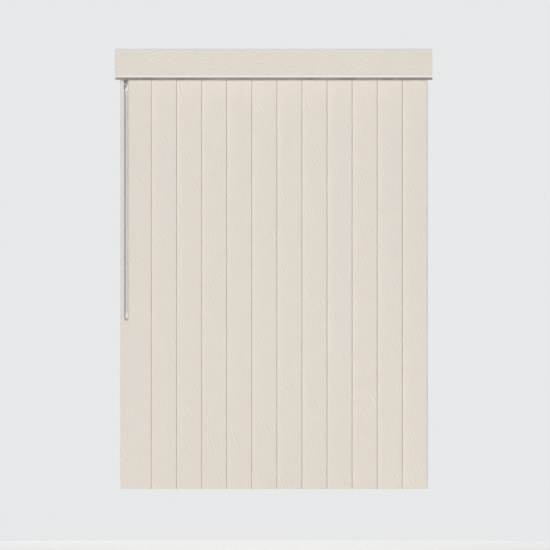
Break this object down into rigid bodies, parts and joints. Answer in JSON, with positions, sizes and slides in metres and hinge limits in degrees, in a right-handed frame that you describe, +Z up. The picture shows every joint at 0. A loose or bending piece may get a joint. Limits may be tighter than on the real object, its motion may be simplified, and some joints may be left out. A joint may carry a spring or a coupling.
{
  "type": "vertical blind",
  "caption": "Vertical blind with flat embossed vanes on traversing carriers, a valance with an insert, and a tilt wand; it opens, closes and stacks to one side.",
  "frame": {"origin": "centre of the bracket screw holes in the mounting plane, on top of the brackets and over the middle of the vanes' row", "axes": "+Z up, -Y to the front (the room side), +X to the right seen from the front"},
  "size_m": [0.884, 0.0939, 1.228],
  "materials": {
    "vane_pvc": "embossed matt PVC with fine slanting flecks",
    "valance_plastic": "satin extruded plastic",
    "rail_aluminium": "white coated extrusion",
    "cap_plastic": "moulded matt plastic",
    "bracket_steel": "zinc-plated spring steel",
    "clip_plastic": "pale translucent moulding",
    "rod_aluminium": "drawn bar",
    "carrier_plastic": "moulded acetal",
    "worm_plastic": "moulded acetal",
    "stem_plastic": "moulded clear-white plastic",
    "wand_plastic": "polished grey-white plastic",
    "grip_plastic": "satin plastic"
  },
  "bodies": {
    "rail": {"headrail": "rail_aluminium", "left_end_cap": "cap_plastic", "right_end_cap": "cap_plastic", "mounting_brackets": "bracket_steel", "valance_channel": "valance_plastic", "valance_insert": "vane_pvc", "valance_clips": "clip_plastic", "carrier_12": "carrier_plastic"},
    "rod": {"tilt_rod": "rod_aluminium"},
    "lead_trolley": {"lead_carrier": "carrier_plastic"},
    "trolley_02": {"carrier_02": "carrier_plastic"},
    "trolley_03": {"carrier_03": "carrier_plastic"},
    "trolley_04": {"carrier_04": "carrier_plastic"},
    "trolley_05": {"carrier_05": "carrier_plastic"},
    "trolley_06": {"carrier_06": "carrier_plastic"},
    "trolley_07": {"carrier_07": "carrier_plastic"},
    "trolley_08": {"carrier_08": "carrier_plastic"},
    "trolley_09": {"carrier_09": "carrier_plastic"},
    "trolley_10": {"carrier_10": "carrier_plastic"},
    "trolley_11": {"carrier_11": "carrier_plastic"},
    "hung_vane_01": {"stem_01": "stem_plastic", "vane_01": "vane_pvc"},
    "hung_vane_02": {"stem_02": "stem_plastic", "vane_02": "vane_pvc"},
    "hung_vane_03": {"stem_03": "stem_plastic", "vane_03": "vane_pvc"},
    "hung_vane_04": {"stem_04": "stem_plastic", "vane_04": "vane_pvc"},
    "hung_vane_05": {"stem_05": "stem_plastic", "vane_05": "vane_pvc"},
    "hung_vane_06": {"stem_06": "stem_plastic", "vane_06": "vane_pvc"},
    "hung_vane_07": {"stem_07": "stem_plastic", "vane_07": "vane_pvc"},
    "hung_vane_08": {"stem_08": "stem_plastic", "vane_08": "vane_pvc"},
    "hung_vane_09": {"stem_09": "stem_plastic", "vane_09": "vane_pvc"},
    "hung_vane_10": {"stem_10": "stem_plastic", "vane_10": "vane_pvc"},
    "hung_vane_11": {"stem_11": "stem_plastic", "vane_11": "vane_pvc"},
    "hung_vane_12": {"stem_12": "stem_plastic", "vane_12": "vane_pvc"},
    "worm_drive_01": {"worm_01": "worm_plastic"},
    "worm_drive_02": {"worm_02": "worm_plastic"},
    "worm_drive_03": {"worm_03": "worm_plastic"},
    "worm_drive_04": {"worm_04": "worm_plastic"},
    "worm_drive_05": {"worm_05": "worm_plastic"},
    "worm_drive_06": {"worm_06": "worm_plastic"},
    "worm_drive_07": {"worm_07": "worm_plastic"},
    "worm_drive_08": {"worm_08": "worm_plastic"},
    "worm_drive_09": {"worm_09": "worm_plastic"},
    "worm_drive_10": {"worm_10": "worm_plastic"},
    "worm_drive_11": {"worm_11": "worm_plastic"},
    "worm_drive_12": {"worm_12": "worm_plastic"},
    "drive": {"wand_drive_shaft": "wand_plastic"},
    "link": {"wand_link": "wand_plastic"},
    "hanging_wand": {"wand": "wand_plastic", "wand_grip": "grip_plastic"}
  },
  "joints": [
    {"name": "traverse", "type": "slide", "parent": "rail", "child": "lead_trolley", "axis": [1, 0, 0], "range_m": [0, 0.6105]},
    {"name": "traverse_02", "type": "slide", "parent": "rail", "child": "trolley_02", "axis": [1, 0, 0], "range_m": [0, 0.555]},
    {"name": "traverse_03", "type": "slide", "parent": "rail", "child": "trolley_03", "axis": [1, 0, 0], "range_m": [0, 0.4995]},
    {"name": "traverse_04", "type": "slide", "parent": "rail", "child": "trolley_04", "axis": [1, 0, 0], "range_m": [0, 0.444]},
    {"name": "traverse_05", "type": "slide", "parent": "rail", "child": "trolley_05", "axis": [1, 0, 0], "range_m": [0, 0.3885]},
    {"name": "traverse_06", "type": "slide", "parent": "rail", "child": "trolley_06", "axis": [1, 0, 0], "range_m": [0, 0.333]},
    {"name": "traverse_07", "type": "slide", "parent": "rail", "child": "trolley_07", "axis": [1, 0, 0], "range_m": [0, 0.2775]},
    {"name": "traverse_08", "type": "slide", "parent": "rail", "child": "trolley_08", "axis": [1, 0, 0], "range_m": [0, 0.222]},
    {"name": "traverse_09", "type": "slide", "parent": "rail", "child": "trolley_09", "axis": [1, 0, 0], "range_m": [0, 0.1665]},
    {"name": "traverse_10", "type": "slide", "parent": "rail", "child": "trolley_10", "axis": [1, 0, 0], "range_m": [0, 0.111]},
    {"name": "traverse_11", "type": "slide", "parent": "rail", "child": "trolley_11", "axis": [1, 0, 0], "range_m": [0, 0.0555]},
    {"name": "tilt", "type": "hinge", "parent": "lead_trolley", "child": "hung_vane_01", "pos_m": [-0.385, 0, -0.0192], "axis": [0, 0, -1], "range_deg": [0, 160]},
    {"name": "tilt_02", "type": "hinge", "parent": "trolley_02", "child": "hung_vane_02", "pos_m": [-0.315, 0, -0.0192], "axis": [0, 0, -1], "range_deg": [0, 160]},
    {"name": "tilt_03", "type": "hinge", "parent": "trolley_03", "child": "hung_vane_03", "pos_m": [-0.245, 0, -0.0192], "axis": [0, 0, -1], "range_deg": [0, 160]},
    {"name": "tilt_04", "type": "hinge", "parent": "trolley_04", "child": "hung_vane_04", "pos_m": [-0.175, 0, -0.0192], "axis": [0, 0, -1], "range_deg": [0, 160]},
    {"name": "tilt_05", "type": "hinge", "parent": "trolley_05", "child": "hung_vane_05", "pos_m": [-0.105, 0, -0.0192], "axis": [0, 0, -1], "range_deg": [0, 160]},
    {"name": "tilt_06", "type": "hinge", "parent": "trolley_06", "child": "hung_vane_06", "pos_m": [-0.035, 0, -0.0192], "axis": [0, 0, -1], "range_deg": [0, 160]},
    {"name": "tilt_07", "type": "hinge", "parent": "trolley_07", "child": "hung_vane_07", "pos_m": [0.035, 0, -0.0192], "axis": [0, 0, -1], "range_deg": [0, 160]},
    {"name": "tilt_08", "type": "hinge", "parent": "trolley_08", "child": "hung_vane_08", "pos_m": [0.105, 0, -0.0192], "axis": [0, 0, -1], "range_deg": [0, 160]},
    {"name": "tilt_09", "type": "hinge", "parent": "trolley_09", "child": "hung_vane_09", "pos_m": [0.175, 0, -0.0192], "axis": [0, 0, -1], "range_deg": [0, 160]},
    {"name": "tilt_10", "type": "hinge", "parent": "trolley_10", "child": "hung_vane_10", "pos_m": [0.245, 0, -0.0192], "axis": [0, 0, -1], "range_deg": [0, 160]},
    {"name": "tilt_11", "type": "hinge", "parent": "trolley_11", "child": "hung_vane_11", "pos_m": [0.315, 0, -0.0192], "axis": [0, 0, -1], "range_deg": [0, 160]},
    {"name": "tilt_12", "type": "hinge", "parent": "rail", "child": "hung_vane_12", "pos_m": [0.385, 0, -0.0192], "axis": [0, 0, -1], "range_deg": [0, 160]},
    {"name": "worm_turn_01", "type": "hinge", "parent": "lead_trolley", "child": "worm_drive_01", "pos_m": [-0.385, 0.00823, -0.0192], "axis": [-1, 0, 0], "range_deg": [0, 1280]},
    {"name": "worm_turn_02", "type": "hinge", "parent": "trolley_02", "child": "worm_drive_02", "pos_m": [-0.315, 0.00823, -0.0192], "axis": [-1, 0, 0], "range_deg": [0, 1280]},
    {"name": "worm_turn_03", "type": "hinge", "parent": "trolley_03", "child": "worm_drive_03", "pos_m": [-0.245, 0.00823, -0.0192], "axis": [-1, 0, 0], "range_deg": [0, 1280]},
    {"name": "worm_turn_04", "type": "hinge", "parent": "trolley_04", "child": "worm_drive_04", "pos_m": [-0.175, 0.00823, -0.0192], "axis": [-1, 0, 0], "range_deg": [0, 1280]},
    {"name": "worm_turn_05", "type": "hinge", "parent": "trolley_05", "child": "worm_drive_05", "pos_m": [-0.105, 0.00823, -0.0192], "axis": [-1, 0, 0], "range_deg": [0, 1280]},
    {"name": "worm_turn_06", "type": "hinge", "parent": "trolley_06", "child": "worm_drive_06", "pos_m": [-0.035, 0.00823, -0.0192], "axis": [-1, 0, 0], "range_deg": [0, 1280]},
    {"name": "worm_turn_07", "type": "hinge", "parent": "trolley_07", "child": "worm_drive_07", "pos_m": [0.035, 0.00823, -0.0192], "axis": [-1, 0, 0], "range_deg": [0, 1280]},
    {"name": "worm_turn_08", "type": "hinge", "parent": "trolley_08", "child": "worm_drive_08", "pos_m": [0.105, 0.00823, -0.0192], "axis": [-1, 0, 0], "range_deg": [0, 1280]},
    {"name": "worm_turn_09", "type": "hinge", "parent": "trolley_09", "child": "worm_drive_09", "pos_m": [0.175, 0.00823, -0.0192], "axis": [-1, 0, 0], "range_deg": [0, 1280]},
    {"name": "worm_turn_10", "type": "hinge", "parent": "trolley_10", "child": "worm_drive_10", "pos_m": [0.245, 0.00823, -0.0192], "axis": [-1, 0, 0], "range_deg": [0, 1280]},
    {"name": "worm_turn_11", "type": "hinge", "parent": "trolley_11", "child": "worm_drive_11", "pos_m": [0.315, 0.00823, -0.0192], "axis": [-1, 0, 0], "range_deg": [0, 1280]},
    {"name": "worm_turn_12", "type": "hinge", "parent": "rail", "child": "worm_drive_12", "pos_m": [0.385, 0.00823, -0.0192], "axis": [-1, 0, 0], "range_deg": [0, 1280]},
    {"name": "rod_turn", "type": "hinge", "parent": "rail", "child": "rod", "pos_m": [0, 0.00823, -0.0192], "axis": [-1, 0, 0], "range_deg": [0, 1280]},
    {"name": "wand_turn", "type": "hinge", "parent": "lead_trolley", "child": "drive", "pos_m": [-0.4125, -0.0516, -0.104], "axis": [0, 0, -1], "range_deg": [0, 1440]},
    {"name": "wand_swing_out", "type": "hinge", "parent": "drive", "child": "link", "pos_m": [-0.4125, -0.0516, -0.104], "axis": [-1, 0, 0], "range_deg": [0, 45]},
    {"name": "wand_swing_side", "type": "hinge", "parent": "link", "child": "hanging_wand", "pos_m": [-0.4125, -0.0516, -0.114], "axis": [0, 1, 0], "range_deg": [-45, 45]}
  ],
  "couplings": [
    {"joint": "traverse_02", "follows": "traverse", "ratio": 0.90909},
    {"joint": "traverse_03", "follows": "traverse", "ratio": 0.81818},
    {"joint": "traverse_04", "follows": "traverse", "ratio": 0.72727},
    {"joint": "traverse_05", "follows": "traverse", "ratio": 0.63636},
    {"joint": "traverse_06", "follows": "traverse", "ratio": 0.54545},
    {"joint": "traverse_07", "follows": "traverse", "ratio": 0.45455},
    {"joint": "traverse_08", "follows": "traverse", "ratio": 0.36364},
    {"joint": "traverse_09", "follows": "traverse", "ratio": 0.27273},
    {"joint": "traverse_10", "follows": "traverse", "ratio": 0.18182},
    {"joint": "traverse_11", "follows": "traverse", "ratio": 0.090909},
    {"joint": "tilt_02", "follows": "tilt", "ratio": 1},
    {"joint": "tilt_03", "follows": "tilt", "ratio": 1},
    {"joint": "tilt_04", "follows": "tilt", "ratio": 1},
    {"joint": "tilt_05", "follows": "tilt", "ratio": 1},
    {"joint": "tilt_06", "follows": "tilt", "ratio": 1},
    {"joint": "tilt_07", "follows": "tilt", "ratio": 1},
    {"joint": "tilt_08", "follows": "tilt", "ratio": 1},
    {"joint": "tilt_09", "follows": "tilt", "ratio": 1},
    {"joint": "tilt_10", "follows": "tilt", "ratio": 1},
    {"joint": "tilt_11", "follows": "tilt", "ratio": 1},
    {"joint": "tilt_12", "follows": "tilt", "ratio": 1},
    {"joint": "worm_turn_01", "follows": "tilt", "ratio": 8},
    {"joint": "worm_turn_02", "follows": "tilt", "ratio": 8},
    {"joint": "worm_turn_03", "follows": "tilt", "ratio": 8},
    {"joint": "worm_turn_04", "follows": "tilt", "ratio": 8},
    {"joint": "worm_turn_05", "follows": "tilt", "ratio": 8},
    {"joint": "worm_turn_06", "follows": "tilt", "ratio": 8},
    {"joint": "worm_turn_07", "follows": "tilt", "ratio": 8},
    {"joint": "worm_turn_08", "follows": "tilt", "ratio": 8},
    {"joint": "worm_turn_09", "follows": "tilt", "ratio": 8},
    {"joint": "worm_turn_10", "follows": "tilt", "ratio": 8},
    {"joint": "worm_turn_11", "follows": "tilt", "ratio": 8},
    {"joint": "worm_turn_12", "follows": "tilt", "ratio": 8},
    {"joint": "rod_turn", "follows": "tilt", "ratio": 8},
    {"joint": "wand_turn", "follows": "tilt", "ratio": 9}
  ]
}
